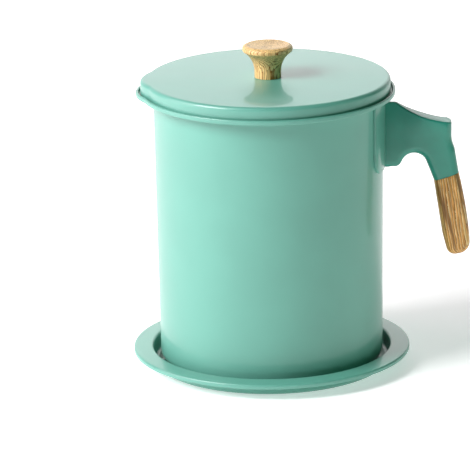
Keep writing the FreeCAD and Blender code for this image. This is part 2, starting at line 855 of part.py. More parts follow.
def make_lid_shell():
    """A flat cover with a rounded edge and a skirt, on the same plan as the rim."""
    body = new_body("lid_shell")
    pad_up(body, "cover", ledge_top, S.lid_height, nose(lid_radius))
    round_edges(body, "cover_edge", S.lid_edge_round, nose_edges(lid_radius, lid_top))
    inner_radius = lid_radius - S.lid_sheet
    pocket(body, "cover_hollow", ledge_top, S.lid_height - S.lid_sheet, nose(inner_radius),
           upwards=True)
    round_edges(body, "hollow_edge", S.lid_edge_round - S.lid_sheet,
                nose_edges(inner_radius, lid_under))
    pocket(body, "screw_hole", lid_top, S.lid_sheet,
           disc(S.knob_screw_diameter / 2 + S.loose_gap))
    return body


def make_lid_knob():
    """Turned wood: a short straight base, a trumpet neck and a head with a dished top."""
    body = new_body("lid_knob")
    base = S.knob_base_diameter / 2
    crest = lid_top + S.knob_height
    dish = S.knob_dish_depth
    dish_round = (S.knob_crest_radius * S.knob_crest_radius + dish * dish) / (dish * 2)
    bore = S.insert_diameter / 2 + S.bore_gap
    bore_top = lid_top + S.insert_length + S.insert_room
    revolve(body, "turned_knob", [
        (bore, lid_top),
        (base, lid_top),
        (base, lid_top + S.knob_straight, -S.knob_neck_round),
        (S.knob_shoulder_radius, lid_top + S.knob_shoulder_height, S.knob_shoulder_round),
        (S.knob_diameter / 2, lid_top + S.knob_widest_height, S.knob_brow_round),
        (S.knob_crest_radius, crest, -dish_round),
        (ZERO, crest - dish),
        (ZERO, bore_top),
        (bore, bore_top),
    ])
    return body


def make_knob_insert():
    """A brass sleeve pressed into the knob's base."""
    body = new_body("knob_insert")
    bore = S.knob_screw_diameter / 2 + S.bore_gap
    pad_up(body, "sleeve", lid_top, S.insert_length, disc(S.insert_diameter / 2), disc(bore))
    return body


def make_knob_washer():
    """The washer under the lid, beneath the knob screw's head."""
    body = new_body("knob_washer")
    bore = S.knob_screw_diameter / 2 + S.fit_gap
    pad_up(body, "washer", lid_under - S.washer_thickness, S.washer_thickness,
           disc(S.washer_diameter / 2), disc(bore))
    return body


# --- strainer -----------------------------------------------------------------------------------

def make_strainer_rim():
    """The pressed cup: a flange on the ledge, a tapered wall and a lip for the screen."""
    body = new_body("strainer_rim")
    sheet = S.strainer_sheet
    low_radius = strainer_low_radius
    lip_radius = low_radius - sheet - S.strainer_lip
    revolve(body, "strainer_cup", [
        (lip_radius, strainer_floor),
        (low_radius, strainer_floor),
        (strainer_radius, ledge_top),
        (flange_radius, ledge_top),
        (flange_radius, ledge_top + sheet),
        (strainer_radius - sheet, ledge_top + sheet),
        (low_radius - sheet, strainer_floor + sheet),
        (lip_radius, strainer_floor + sheet),
    ])
    round_edges(body, "cup_corner", S.strainer_corner_round, ring(low_radius, strainer_floor))
    return body


def make_strainer_screen():
    """A perforated disc on the lip, with rings of round holes about a middle one."""
    body = new_body("strainer_screen")
    radius = strainer_low_radius - S.strainer_sheet - S.screen_gap
    level = strainer_floor + S.strainer_sheet
    pad_up(body, "screen_disc", level, S.screen_sheet, disc(radius))
    top = level + S.screen_sheet
    hole = S.hole_diameter / 2
    pocket(body, "middle_hole", top, S.screen_sheet, disc(hole))
    for step in range(1, HOLE_RINGS + 1):
        along = S.hole_pitch * step
        first = pocket(body, f"ring_{step}_hole", top, S.screen_sheet,
                       lambda sketch: draw_circle(sketch, hole, along))
        pattern = body.newObject("PartDesign::PolarPattern", f"ring_{step}_holes")
        pattern.Originals = [first]
        pattern.Axis = (first.Profile[0], ["N_Axis"])
        pattern.Angle = 360.0
        pattern.Occurrences = HOLES_PER_RING_STEP * step
        body.Tip = pattern
        doc.recompute()
    return body


def make_strainer_ring():
    """The ring that holds the screen down on the lip."""
    body = new_body("strainer_ring")
    outer = strainer_low_radius - S.strainer_sheet - S.ring_gap
    level = strainer_floor + S.strainer_sheet + S.screen_sheet
    pad_up(body, "ring_band", level, S.ring_height, disc(outer), disc(outer - S.ring_width))
    return body


# --- the whole object ---------------------------------------------------------------------------

def check_and_export(bodies):
    """Refuse a failed feature or a bad shape, then write each piece to its own file."""
    for item in doc.Objects:
        if "Invalid" in item.State or "Error" in item.State:
            raise RuntimeError(f"{item.Name} failed: {item.State}")
    for body in bodies:
        if body.Shape.isNull() or not body.Shape.isValid() or not body.Shape.Solids:
            raise RuntimeError(f"{body.Label} has no valid solid")
    os.makedirs("parts", exist_ok=True)
    for body in bodies:
        body.Shape.exportStep(os.path.join("parts", f"{body.Label}.step"))


pieces = [
    make_tray(),
    make_pot_body(),
    make_handle_bracket(),
    make_handle_arm(),
    make_handle_grip(),
    *make_screws(),
    make_lid_shell(),
    make_lid_knob(),
    make_knob_insert(),
    make_knob_washer(),
    make_strainer_rim(),
    make_strainer_screen(),
    make_strainer_ring(),
]
doc.recompute()
check_and_export(pieces)
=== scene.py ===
"""Bacon grease container: an enamelled pot with a nosed rim, a moulded handle and a wooden knob.

Laid out as an add-on: the sizes and finishes are scene properties, each piece is made by an
operator, and a sidebar panel lists the operators in the order in which they are run.
"""
import math

import bmesh
import bpy
from bpy.props import FloatProperty, FloatVectorProperty, IntProperty, PointerProperty
from mathutils import Matrix, Vector


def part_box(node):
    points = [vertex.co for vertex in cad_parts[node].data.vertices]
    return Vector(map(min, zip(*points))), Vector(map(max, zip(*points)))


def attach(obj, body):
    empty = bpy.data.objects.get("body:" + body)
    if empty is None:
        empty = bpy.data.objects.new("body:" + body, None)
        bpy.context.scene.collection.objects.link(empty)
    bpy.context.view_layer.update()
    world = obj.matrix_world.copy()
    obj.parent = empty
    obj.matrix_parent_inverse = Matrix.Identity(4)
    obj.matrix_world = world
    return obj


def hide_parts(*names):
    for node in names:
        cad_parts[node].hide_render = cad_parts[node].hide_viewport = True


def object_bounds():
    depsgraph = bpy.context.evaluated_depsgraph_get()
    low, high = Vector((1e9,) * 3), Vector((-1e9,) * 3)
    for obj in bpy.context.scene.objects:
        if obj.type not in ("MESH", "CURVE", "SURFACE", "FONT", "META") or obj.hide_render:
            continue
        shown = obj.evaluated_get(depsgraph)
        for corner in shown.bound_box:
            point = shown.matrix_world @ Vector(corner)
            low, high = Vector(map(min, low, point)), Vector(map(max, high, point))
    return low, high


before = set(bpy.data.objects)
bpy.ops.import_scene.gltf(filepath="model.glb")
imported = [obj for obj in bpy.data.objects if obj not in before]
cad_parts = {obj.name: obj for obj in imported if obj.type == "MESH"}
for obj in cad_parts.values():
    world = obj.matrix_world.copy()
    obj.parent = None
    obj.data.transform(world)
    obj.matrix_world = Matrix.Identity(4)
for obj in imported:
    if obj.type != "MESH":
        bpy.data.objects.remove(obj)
CAD_LOW, CAD_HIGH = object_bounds()

bl_info = {
    "name": "Grease Container",
    "version": (1, 0, 0),
    "blender": (4, 5, 0),
    "location": "View3D > Sidebar > Container",
    "description": "Models and finishes a lidded grease container on its packed frame",
    "category": "Object",
}

MM = 0.001
TOLERANCE = 0.002 * MM
FULL_TURN = 2 * math.pi
ARC_STEP = math.radians(11)
# Faces that meet at more than SHARP make a corner; at less than SMOOTH they are shaded as one.
SHARP = math.radians(50)
SMOOTH = math.radians(38)
SMOOTH_WOOD = math.radians(30)
RECESS_SIDES = 48
ACROSS = Vector((0, 1, 0))
WHITE = (1, 1, 1, 1)


# --- sizes and finishes ---

def length(name, description, millimetres):
    return FloatProperty(name=name, description=description, default=millimetres * MM,
                         unit="LENGTH", subtype="DISTANCE", precision=5)


def angle(name, description, degrees):
    return FloatProperty(name=name, description=description, default=math.radians(degrees),
                         unit="ROTATION", subtype="ANGLE")


def linear(hexadecimal):
    """An sRGB hex colour as the linear values that shaders take."""
    channels = [int(hexadecimal[place:place + 2], 16) / 255 for place in (0, 2, 4)]
    return tuple(value / 12.92 if value <= 0.04045 else ((value + 0.055) / 1.055) ** 2.4
                 for value in channels)


def colour(name, description, hexadecimal):
    return FloatVectorProperty(name=name, description=description, subtype="COLOR", size=3,
                               min=0, max=1, default=linear(hexadecimal))


def low(node):
    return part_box(node)[0]


def high(node):
    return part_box(node)[1]


class TraySizes(bpy.types.PropertyGroup):
    lip_radius: length("Lip radius", "Outside radius of the rolled lip", high("tray").x / MM)
    height: length("Height", "Top of the flange by the well", high("tray").z / MM)
    well_radius: length("Well radius", "Inside radius of the upright well wall", 60.0)
    sheet: length("Sheet", "Thickness of the pressed sheet", 1.0)
    flange_fall: length("Flange fall", "How far the flange falls from well to lip", 0.4)
    lip_width: length("Lip width", "Thickness of the rolled lip", 1.2)
    lip_depth: length("Lip depth", "Height of the rolled lip", 2.3)
    lip_round: length("Lip round", "Radius of the lip's upper edge", 0.95)
    edge_round: length("Edge round", "Radius between the flange and the well", 1.5)
    corner_round: length("Corner round", "Inside radius at the well's floor", 3.0)


class PotSizes(bpy.types.PropertyGroup):
    floor: length("Floor", "Height of the foot ring", low("pot_body").z / MM)
    rim_top: length("Rim top", "Height of the rolled rim", high("pot_body").z / MM)
    rim_radius: length("Rim radius", "Outside radius of the rim", high("pot_body").y / MM)
    ledge_top: length("Ledge top", "Height of the lid's ledge", low("lid_shell").z / MM)
    ledge_sheet: length("Ledge sheet", "Thickness of the ledge", 0.8)
    ledge_round: length("Ledge round", "Radius between the wall and the ledge", 1.2)
    mouth_radius: length("Mouth radius", "Outside radius of the wall at the ledge", 57.6)
    base_radius: length("Base radius", "Outside radius of the wall at the foot", 56.3)
    sheet: length("Sheet", "Thickness of the drawn wall", 0.7)
    corner_round: length("Corner round", "Outside radius between the wall and the foot", 7.0)
    foot_width: length("Foot width", "Width of the foot ring, with the base's round", 11.3)
    foot_rise: length("Foot rise", "How far the bottom stands off inside the foot ring", 0.8)
    rim_width: length("Rim width", "Thickness of the rolled rim", 1.4)
    rim_round: length("Rim round", "Radius of the rim's rolled edges", 0.65)
    nose_reach: length("Nose reach", "How far the pouring nose stands out of the circle", 2.6)
    nose_setback: length("Nose setback", "Distance of the nose's centre from the axis", 36.0)
    nose_blend: length("Nose blend", "Radius of the hollows beside the nose", 12.0)


class LidSizes(bpy.types.PropertyGroup):
    radius: length("Radius", "Outside radius of the skirt", high("lid_shell").y / MM)
    top: length("Top", "Height of the lid's flat top", high("lid_shell").z / MM)
    sheet: length("Sheet", "Thickness of the pressed sheet", 0.7)
    edge_round: length("Edge round", "Radius between the top and the skirt", 2.0)
    skirt_round: length("Skirt round", "Radius of the skirt's cut edge", 0.25)
    hole_radius: length("Hole radius", "Radius of the hole for the knob's screw", 2.3)


class KnobSizes(bpy.types.PropertyGroup):
    base_radius: length("Base radius", "Radius where the knob stands on the lid", 6.7)
    foot_round: length("Foot round", "Radius of the edge that stands on the lid", 0.3)
    neck_height: length("Neck height", "Where the base and the head would meet unrounded", 9.7)
    neck_round: length("Neck round", "Radius of the trumpet neck", 12.0)
    head_radius: length("Head radius", "Radius of the widest part", high("lid_knob").y / MM)
    shoulder_height: length("Shoulder height", "Height of the head's lower edge", 13.7)
    brow_height: length("Brow height", "Height where the head turns in", 15.8)
    crest_radius: length("Crest radius", "Radius of the raised ring round the dish", 10.8)
    height: length("Height", "Height of the crest above the lid", 16.75)
    edge_round: length("Edge round", "Radius of the turned edges of the head", 1.3)
    dish_depth: length("Dish depth", "Depth of the dished top", 0.9)
    bore_radius: length("Bore radius", "Radius of the bore for the brass insert", 3.55)
    bore_depth: length("Bore depth", "Depth of the bore for the brass insert", 10.5)


class BracketSizes(bpy.types.PropertyGroup):
    spread: angle("Spread", "Angle that the saddle plate spans", 50.0)
    top: length("Top", "Height of the plate's upper edge", high("handle_bracket").z / MM)
    bottom: length("Bottom", "Height of the plate's lower edge", low("handle_bracket").z / MM)
    sheet: length("Sheet", "Thickness of the plate", 1.0)
    corner_round: length("Corner round", "Radius of the plate's lower corners", 9.0)
    edge_round: length("Edge round", "Radius of the plate's pressed edge", 0.3)
    weld_gap: length("Weld gap", "Gap between the wall and the plate", 0.1)
    tongue_width: length("Tongue width", "Width of the tongue inside the arm", 5.4)
    tongue_top: length("Tongue top", "Height of the tongue's upper face", 108.0)
    tongue_thickness: length("Tongue thickness", "Thickness of the tongue", 2.5)


class ArmSizes(bpy.types.PropertyGroup):
    """Corners of the arm's side: out from the pot's axis and up from the table."""
    width: length("Width", "Thickness of the arm from side to side", 11.0)
    root_out: length("Root", "Where the arm ends, inside the saddle plate", 58.0)
    foot_up: length("Foot up", "Height of the foot's underside", 100.8)
    toe_out: length("Toe", "Where the underside turns up", 65.2)
    toe_round: length("Toe round", "Radius of the toe", 4.4)
    arch_out: length("Arch out", "Corner of the arch over the first finger", 73.5)
    arch_up: length("Arch up", "Corner of the arch over the first finger", 117.9)
    arch_round: length("Arch round", "Radius of the arch", 6.5)
    flare_out: length("Flare out", "Corner where the column is fullest", 93.36)
    flare_up: length("Flare up", "Corner where the column is fullest", 109.6)
    flare_round: length("Flare round", "Radius of the flare", 6.0)
    waist_out: length("Waist out", "Corner where the column is slimmest", 91.66)
    waist_up: length("Waist up", "Corner where the column is slimmest", 114.3)
    waist_round: length("Waist round", "Radius of the waist", 12.0)
    brow_out: length("Brow out", "Corner of column and top face", 91.76)
    brow_up: length("Brow up", "Corner of column and top face", 124.2)
    top_hollow: length("Top hollow", "Radius of the hollow top face", 57.0)
    crest_out: length("Crest out", "Corner of top face and level root", 63.96)
    crest_up: length("Crest up", "Height of the level root", 134.2)
    crest_round: length("Crest round", "Radius of the crest", 3.0)
    edge_round: length("Edge round", "Radius of the rounded side edges", 4.0)
    top_round: length("Top round", "Radius of the crisp edges along the top face", 0.9)
    ridge_half_width: length("Ridge half width", "Half the top face's width at the root", 1.4)
    end_half_width: length("End half width", "Half the top face's width at its end", 5.4)
    flank_end_out: length("Flank end", "Where the top face reaches its full width", 84.0)
    flank_tilt: angle("Flank tilt", "How far the flanks lean out as they go down", 5.0)


class GripSizes(bpy.types.PropertyGroup):
    """Distances across and along the grip's axis, from the middle of its upper end."""
    out: length("Out", "Where the axis starts, out from the pot's axis", 89.06)
    up: length("Up", "Where the axis starts, up from the table", 94.9)
    tilt: angle("Tilt", "How far the grip leans out", 8.1)
    thickness: length("Thickness", "Thickness at the seam, in the handle's plane", 12.9)
    width: length("Width", "Width from side to side", 11.6)
    length: length("Length", "Length along the axis", 40.2)
    seam_rise: length("Seam rise", "How much higher the seam is outside", 2.0)
    bulge: length("Bulge", "How far the outer side swells", 1.0)
    inner_bend: length("Inner bend", "Height where the inner side turns", 12.0)
    inner_lean: length("Inner lean", "How far the inner side leans in by that bend", 0.2)
    inner_tuck: length("Inner tuck", "How far the inner side is in at the end", 1.5)
    inner_round: length("Inner round", "Radius of the inner corner at the end", 4.3)
    outer_round: length("Outer round", "Radius of the outer corner at the end", 6.2)
    edge_round: length("Edge round", "Radius of the four long edges", 4.0)
    seam_round: length("Seam round", "Radius of the edge at the seam", 0.35)
    recess_radius: length("Recess radius", "Radius of the screw recesses", 2.9)
    recess_depth: length("Recess depth", "Depth of the screw recesses", 2.8)


class StudioSettings(bpy.types.PropertyGroup):
    camera_away: length("Camera distance", "Camera's distance in front of the axis", 2141.28)
    camera_up: length("Camera height", "Camera's height above the table", 694.88)
    focal_length: FloatProperty(name="Focal length", description="Lens, in millimetres",
                                default=338.2, unit="CAMERA", min=1)
    yaw: angle("Yaw", "Camera's turn to the right", -0.4767)
    pitch: angle("Pitch", "Camera's tilt down", 16.3711)
    roll: angle("Roll", "Camera's turn about its own view", -0.9798)
    floor_size: length("Floor size", "Side of the square floor", 6000.0)
    floor_gap: length("Floor gap", "How far the floor lies below the tray's underside", 0.05)
    surround: FloatProperty(name="Surround", description="Strength of the white surround",
                            default=0.02, min=0)
    turning_steps: IntProperty(name="Turning steps", description="Steps in a full turn",
                               default=360, min=36)


class Colours(bpy.types.PropertyGroup):
    enamel: colour("Enamel", "Mint enamel of the pot, lid, tray and plate", "5FA493")
    plastic: colour("Plastic", "Green plastic of the arm", "2B907C")
    wood_pale: colour("Pale wood", "Pale early wood", "F6DA98")
    wood_mid: colour("Tan wood", "Tan wood between the streaks", "DDA04C")
    wood_dark: colour("Dark wood", "Dark streaks of late wood", "80500A")
    steel: colour("Steel", "Stainless steel and screws", "C9CBCD")
    brass: colour("Brass", "Brass insert", "D6B15C")
    floor: colour("Floor", "Lit acrylic under the container", "FFFFFF")


SIZE_GROUPS = {
    "container_tray": TraySizes,
    "container_pot": PotSizes,
    "container_lid": LidSizes,
    "container_knob": KnobSizes,
    "container_bracket": BracketSizes,
    "container_arm": ArmSizes,
    "container_grip": GripSizes,
    "container_studio": StudioSettings,
    "container_colours": Colours,
}


# --- outlines ---

def arc(centre, start, end):
    """Points from start to end about a centre, the short way round."""
    from_centre = start - centre
    turn = from_centre.angle_signed(end - centre)
    steps = max(2, math.ceil(abs(turn) / ARC_STEP))
    points = []
    for step in range(steps + 1):
        share = turn * step / steps
        spoke = Matrix.Rotation(-share, 2) @ from_centre
        points.append(centre + spoke)
    return points


def rounded(corners):
    """The points of a closed outline; a corner is (x, z) or (x, z, radius)."""
    points = []
    for index, (x, z, *radius) in enumerate(corners):
        here = Vector((x, z))
        if not radius:
            points.append(here)
            continue
        back = (Vector(corners[index - 1][:2]) - here).normalized()
        on = (Vector(corners[(index + 1) % len(corners)][:2]) - here).normalized()
        half = back.angle(on) / 2
        reach = radius[0] / math.tan(half)
        centre = here + (back + on).normalized() * (radius[0] / math.sin(half))
        points += arc(centre, here + back * reach, here + on * reach)
    return points


def bow(start, end, rise, steps):
    """Corners from start to end along a shallow arc that rises to the left of its chord."""
    chord = end - start
    left = Vector((-chord.y, chord.x)).normalized()
    corners = []
    for step in range(steps + 1):
        share = step / steps
        corners.append(tuple(start + chord * share + left * (4 * rise * share * (1 - share))))
    return corners


def in_plane(point, y=0.0):
    return Vector((point[0], y, point[1]))


# --- modelling steps ---

def set_mode(mode):
    bpy.ops.object.mode_set(mode=mode)


def select_whole():
    bpy.ops.mesh.select_all(action="SELECT")


def deselect():
    if bpy.context.object and bpy.context.object.mode != "OBJECT":
        set_mode("OBJECT")
    bpy.ops.object.select_all(action="DESELECT")


def select_only(*pieces):
    deselect()
    for piece in pieces:
        piece.select_set(True)
    bpy.context.view_layer.objects.active = pieces[0]


def start_outline(name, place):
    """A new piece that is one corner: a small plane merged to its centre."""
    deselect()
    bpy.ops.mesh.primitive_plane_add(size=MM)
    piece = bpy.context.object
    piece.name = piece.data.name = name
    set_mode("EDIT")
    bpy.ops.mesh.select_mode(type="VERT")
    select_whole()
    bpy.ops.mesh.merge(type="CENTER")
    bpy.ops.transform.translate(value=place)
    return piece


def extrude_by(offset):
    bpy.ops.mesh.extrude_region_move(TRANSFORM_OT_translate={"value": offset})


def draw_on(places):
    """Extrudes the selected corner from each place to the next."""
    for start, end in zip(places, places[1:]):
        extrude_by(end - start)


def merge_doubles():
    select_whole()
    bpy.ops.mesh.remove_doubles(threshold=TOLERANCE)


def face_outwards():
    select_whole()
    bpy.ops.mesh.normals_make_consistent(inside=False)


def select_where(piece, kind, wanted):
    """Selects the corners, edges or faces that a test picks, in edit mode."""
    bpy.ops.mesh.select_mode(type=kind)
    bpy.ops.mesh.select_all(action="DESELECT")
    mesh = bmesh.from_edit_mesh(piece.data)
    parts = {"VERT": mesh.verts, "EDGE": mesh.edges, "FACE": mesh.faces}[kind]
    found = 0
    for part in parts:
        if wanted(part):
            part.select_set(True)
            found += 1
    mesh.select_flush_mode()
    bmesh.update_edit_mesh(piece.data)
    if not found:
        raise RuntimeError(f"{piece.name}: nothing to select")


def edge_middle(edge):
    return (edge.verts[0].co + edge.verts[1].co) / 2


def sharp(edge):
    """Whether an edge's faces meet at a corner, not on a round."""
    return edge.calc_face_angle(0) > SHARP


def bevel_selected(radius, segments):
    bpy.ops.mesh.bevel(offset_type="OFFSET", offset=radius, segments=segments, profile=0.5,
                       affect="EDGES", clamp_overlap=False, loop_slide=True)


def cut_across(distance, normal):
    """Cuts the whole mesh along a plane at a distance from the frame's origin."""
    select_whole()
    bpy.ops.mesh.bisect(plane_co=Vector(normal) * distance, plane_no=normal)


def turn_profile(name, points):
    """Turns a closed outline of the XZ plane once round the Z axis."""
    steps = bpy.context.scene.container_studio.turning_steps
    places = [in_plane(point) for point in points]
    piece = start_outline(name, places[0])
    draw_on(places + places[:1])
    merge_doubles()
    bpy.ops.mesh.spin(steps=steps, angle=FULL_TURN, center=(0, 0, 0), axis=(0, 0, 1))
    merge_doubles()
    bpy.ops.mesh.delete_loose()
    face_outwards()
    return piece


def extrude_outline(name, points, width):
    """Fills an outline of the XZ plane and extrudes it evenly to both sides."""
    places = [in_plane(point, -width / 2) for point in points]
    piece = start_outline(name, places[0])
    draw_on(places)
    select_whole()
    bpy.ops.mesh.edge_face_add()
    extrude_by(ACROSS * width)
    face_outwards()
    return piece


def cut_recess(piece, mouth, inwards, radius, depth):
    """Sinks a round recess with a cylinder that reaches out of its mouth by twice the depth."""
    direction = inwards.normalized()
    deselect()
    bpy.ops.mesh.primitive_cylinder_add(
        vertices=RECESS_SIDES, radius=radius, depth=3 * depth,
        location=mouth - direction * (depth / 2),
        rotation=direction.to_track_quat("Z", "Y").to_euler())
    cutter = bpy.context.object
    select_only(piece)
    recess = piece.modifiers.new("recess", "BOOLEAN")
    recess.object = cutter
    recess.operation = "DIFFERENCE"
    recess.solver = "EXACT"
    bpy.ops.object.modifier_apply(modifier=recess.name)
    bpy.data.objects.remove(cutter)


def finish_piece(piece, body, material, nodes, smooth=SMOOTH):
    """Smooths a piece, gives it its finish and seats it on its body in place of its nodes."""
    select_only(piece)
    bpy.ops.object.transform_apply(location=True, rotation=True, scale=True)
    bpy.ops.object.shade_smooth_by_angle(angle=smooth)
    piece.data.materials.clear()
    piece.data.materials.append(material)
    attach(piece, body)
    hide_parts(*nodes)


# --- steps of single pieces ---

def wall_radius(pot, level):
    """The outside radius of the tapered wall at a height above the table."""
    share = (level - pot.floor) / (pot.ledge_top - pot.floor)
    return pot.base_radius + (pot.mouth_radius - pot.base_radius) * share


def nose_radius(around, pot):
    """The rim's outside radius at an angle from -X, on its circle, its blends and its nose."""
    tip_radius = pot.rim_radius + pot.nose_reach - pot.nose_setback
    to_blend = pot.rim_radius + pot.nose_blend
    tip_to_blend = tip_radius + pot.nose_blend
    lean = math.acos((to_blend ** 2 + pot.nose_setback ** 2 - tip_to_blend ** 2)
                     / (2 * to_blend * pot.nose_setback))
    tip_centre = Vector((pot.nose_setback, 0))
    blend_centre = Vector((math.cos(lean), math.sin(lean))) * to_blend
    join = tip_centre.lerp(blend_centre, tip_radius / tip_to_blend)
    if around < math.atan2(join.y, join.x):
        sideways = pot.nose_setback * math.sin(around)
        return pot.nose_setback * math.cos(around) + math.sqrt(tip_radius ** 2 - sideways ** 2)
    if around < lean:
        off = lean - around
        inside = pot.nose_blend ** 2 - (to_blend * math.sin(off)) ** 2
        return to_blend * math.cos(off) - math.sqrt(inside)
    return pot.rim_radius


def draw_out_nose(piece, pot, inner_radius, from_height):
    """Moves each upright row of corners near -X out by what the nose stands out there."""
    step = FULL_TURN / bpy.context.scene.container_studio.turning_steps
    reach = 0
    while nose_radius(reach * step, pot) > pot.rim_radius + TOLERANCE:
        reach += 1
    for row in range(-reach, reach + 1):
        around = row * step
        outwards = Vector((-math.cos(around), math.sin(around), 0))

        def in_row(corner):
            place = corner.co
            if place.z < from_height or place.x > 0 or place.xy.length < inner_radius:
                return False
            return abs(math.atan2(place.y, -place.x) - around) < step / 4
        select_where(piece, "VERT", in_row)
        bpy.ops.transform.translate(
            value=outwards * (nose_radius(abs(around), pot) - pot.rim_radius))


def seat_upper_edge(plate, lower, upper, lift):
    """Moves each corner of the extruded row from above its lower corner onto the wall."""
    for start, end in zip(lower, upper):
        raised = start + Vector((0, 0, lift))
        select_where(plate, "VERT",
                     lambda corner: (corner.co - raised).length < TOLERANCE)
        bpy.ops.transform.translate(value=end - raised)


def add_tongue(plate, size, pot):
    """A bent-out tongue with bevelled edges, joined to the plate."""
    deselect()
    near = wall_radius(pot, size.tongue_top) + size.weld_gap + size.sheet / 2
    far = high("handle_bracket").x
    middle = ((near + far) / 2, 0, size.tongue_top - size.tongue_thickness / 2)
    bpy.ops.mesh.primitive_cube_add(
        size=1, location=middle, scale=(far - near, size.tongue_width, size.tongue_thickness))
    tongue = bpy.context.object
    set_mode("EDIT")
    select_whole()
    bevel_selected(size.edge_round, segments=2)
    select_only(plate, tongue)
    bpy.ops.object.join()


def narrow_flanks(arm, size):
    """Draws the flanks in: a slim ridge at the root, fuller outwards and downwards."""
    def half_width(place):
        run = (place.x - size.crest_out) / (size.flank_end_out - size.crest_out)
        swell = math.sin(math.pi / 2 * min(1, max(0, run)))
        at_top = (size.ridge_half_width
                  + (size.end_half_width - size.ridge_half_width) * swell)
        return at_top + (size.crest_up - place.z) * math.tan(size.flank_tilt)

    mesh = bmesh.from_edit_mesh(arm.data)
    places = {(round(corner.co.x / TOLERANCE), round(corner.co.z / TOLERANCE)):
              corner.co.copy() for corner in mesh.verts}
    for place in places.values():
        share = half_width(place) / (size.width / 2)
        if share >= 1:
            continue
        select_where(arm, "VERT", lambda corner: abs(corner.co.x - place.x) < TOLERANCE
                     and abs(corner.co.z - place.z) < TOLERANCE)
        bpy.ops.transform.resize(value=(1, share, 1), center_override=(0, 0, 0))


def grip_axis(grip):
    """The direction up the grip's leaning axis."""
    return Vector((-math.sin(grip.tilt), 0, math.cos(grip.tilt)))


def grip_point(grip, across, along):
    """A point of the handle's plane from its distances across and along the grip."""
    lean = Matrix.Rotation(grip.tilt, 2)
    return Vector((grip.out, grip.up)) + lean @ Vector((across, along))


def height_in_grip(grip, place):
    """How far a place lies above the sloping seam, along the grip's axis."""
    off = Vector((place.x - grip.out, place.z - grip.up))
    across, along = Matrix.Rotation(-grip.tilt, 2) @ off
    return along - grip.seam_rise * (across / grip.thickness + 0.5)


# --- materials ---

def add(tree, kind, inputs=None, stops=(), easing="EASE", **settings):
    """Adds a node with its settings, its named inputs and a colour ramp's stops.

    An input is a value, a socket or a node, which stands for its first output. A stop is
    (position, linear colour).
    """
    node = tree.nodes.new(kind)
    for name, value in settings.items():
        setattr(node, name, value)
    for name, value in (inputs or {}).items():
        if isinstance(value, bpy.types.Node):
            value = next(socket for socket in value.outputs if socket.enabled)
        if isinstance(value, bpy.types.NodeSocket):
            tree.links.new(value, node.inputs[name])
        else:
            node.inputs[name].default_value = value
    if stops:
        node.color_ramp.interpolation = easing
        elements = node.color_ramp.elements
        while len(elements) < len(stops):
            elements.new(1.0)
        for element, (position, tint) in zip(elements, stops):
            element.position = position
            element.color = (*tint, 1.0)
    return node


def new_material(name):
    """An empty material, its tree and a socket that gives places on the object in metres."""
    material = bpy.data.materials.new(name)
    material.use_nodes = True
    tree = material.node_tree
    tree.nodes.clear()
    return material, tree, add(tree, "ShaderNodeTexCoord").outputs["Object"]


def finish_material(tree, **inputs):
    """Adds the surface shader with its inputs, and the output."""
    surface = add(tree, "ShaderNodeBsdfPrincipled",
                  {name.replace("_", " "): value for name, value in inputs.items()})
    add(tree, "ShaderNodeOutputMaterial", {"Surface": surface})


def per_metre(millimetres):
    """The scale of a noise whose features are this far apart."""
    return 1 / (millimetres * MM)


def waves_per_metre(millimetres):
    """The scale of a wave texture whose bands are this far apart."""
    return FULL_TURN / (20 * millimetres * MM)


def tint_of(name):
    return tuple(getattr(bpy.context.scene.container_colours, name))


def shade(tint, factor):
    return tuple(channel * factor for channel in tint)


def glossy_enamel():
    """Spray enamel baked on steel: level and glossy, with a trace of orange peel.

    The peel is a ripple about 3 mm long and a few microns high, so that reflections stay clear
    but their edges waver slightly; the pigment's tone drifts by a percent or two.
    """
    material, tree, place = new_material("baked_enamel")
    drift = add(tree, "ShaderNodeTexNoise",
                {"Vector": place, "Scale": per_metre(25), "Detail": 2.0})
    peel = add(tree, "ShaderNodeTexNoise",
               {"Vector": place, "Scale": per_metre(3), "Detail": 1.0})
    tint = tint_of("enamel")
    tone = add(tree, "ShaderNodeValToRGB", {"Fac": drift},
               stops=((0.3, shade(tint, 0.975)), (0.7, shade(tint, 1.02))))
    haze = add(tree, "ShaderNodeMapRange", {"Value": drift, "To Min": 0.4, "To Max": 0.46})
    bump = add(tree, "ShaderNodeBump",
               {"Height": peel, "Distance": 0.004 * MM, "Strength": 0.5})
    finish_material(tree, Base_Color=tone, Roughness=haze, IOR=1.5, Normal=bump,
                    Coat_Weight=0.4, Coat_Roughness=0.05, Coat_IOR=1.5)
    return material


def enamel():
    """The enamel, which the tray, pot, plate and lid share."""
    return bpy.data.materials.get("baked_enamel") or glossy_enamel()


def moulded_nylon():
    """Glass-filled nylon, moulded in a finely spark-eroded tool: satin, with a fine grain.

    The grain is 0.5 mm across, coarser than the real 0.2 mm, so that it shows in the render.
    """
    material, tree, place = new_material("moulded_nylon")
    grain = add(tree, "ShaderNodeTexNoise",
                {"Vector": place, "Scale": per_metre(0.5), "Detail": 3.0})
    flow = add(tree, "ShaderNodeTexNoise",
               {"Vector": place, "Scale": per_metre(12), "Detail": 3.0})
    tint = tint_of("plastic")
    tone = add(tree, "ShaderNodeValToRGB", {"Fac": flow},
               stops=((0.3, shade(tint, 0.94)), (0.7, shade(tint, 1.05))))
    rough = add(tree, "ShaderNodeMapRange", {"Value": grain, "To Min": 0.34, "To Max": 0.46})
    bump = add(tree, "ShaderNodeBump",
               {"Height": grain, "Distance": 0.02 * MM, "Strength": 0.4})
    finish_material(tree, Base_Color=tone, Roughness=rough, IOR=1.53, Normal=bump,
                    Coat_Weight=0.25, Coat_Roughness=0.2)
    return material


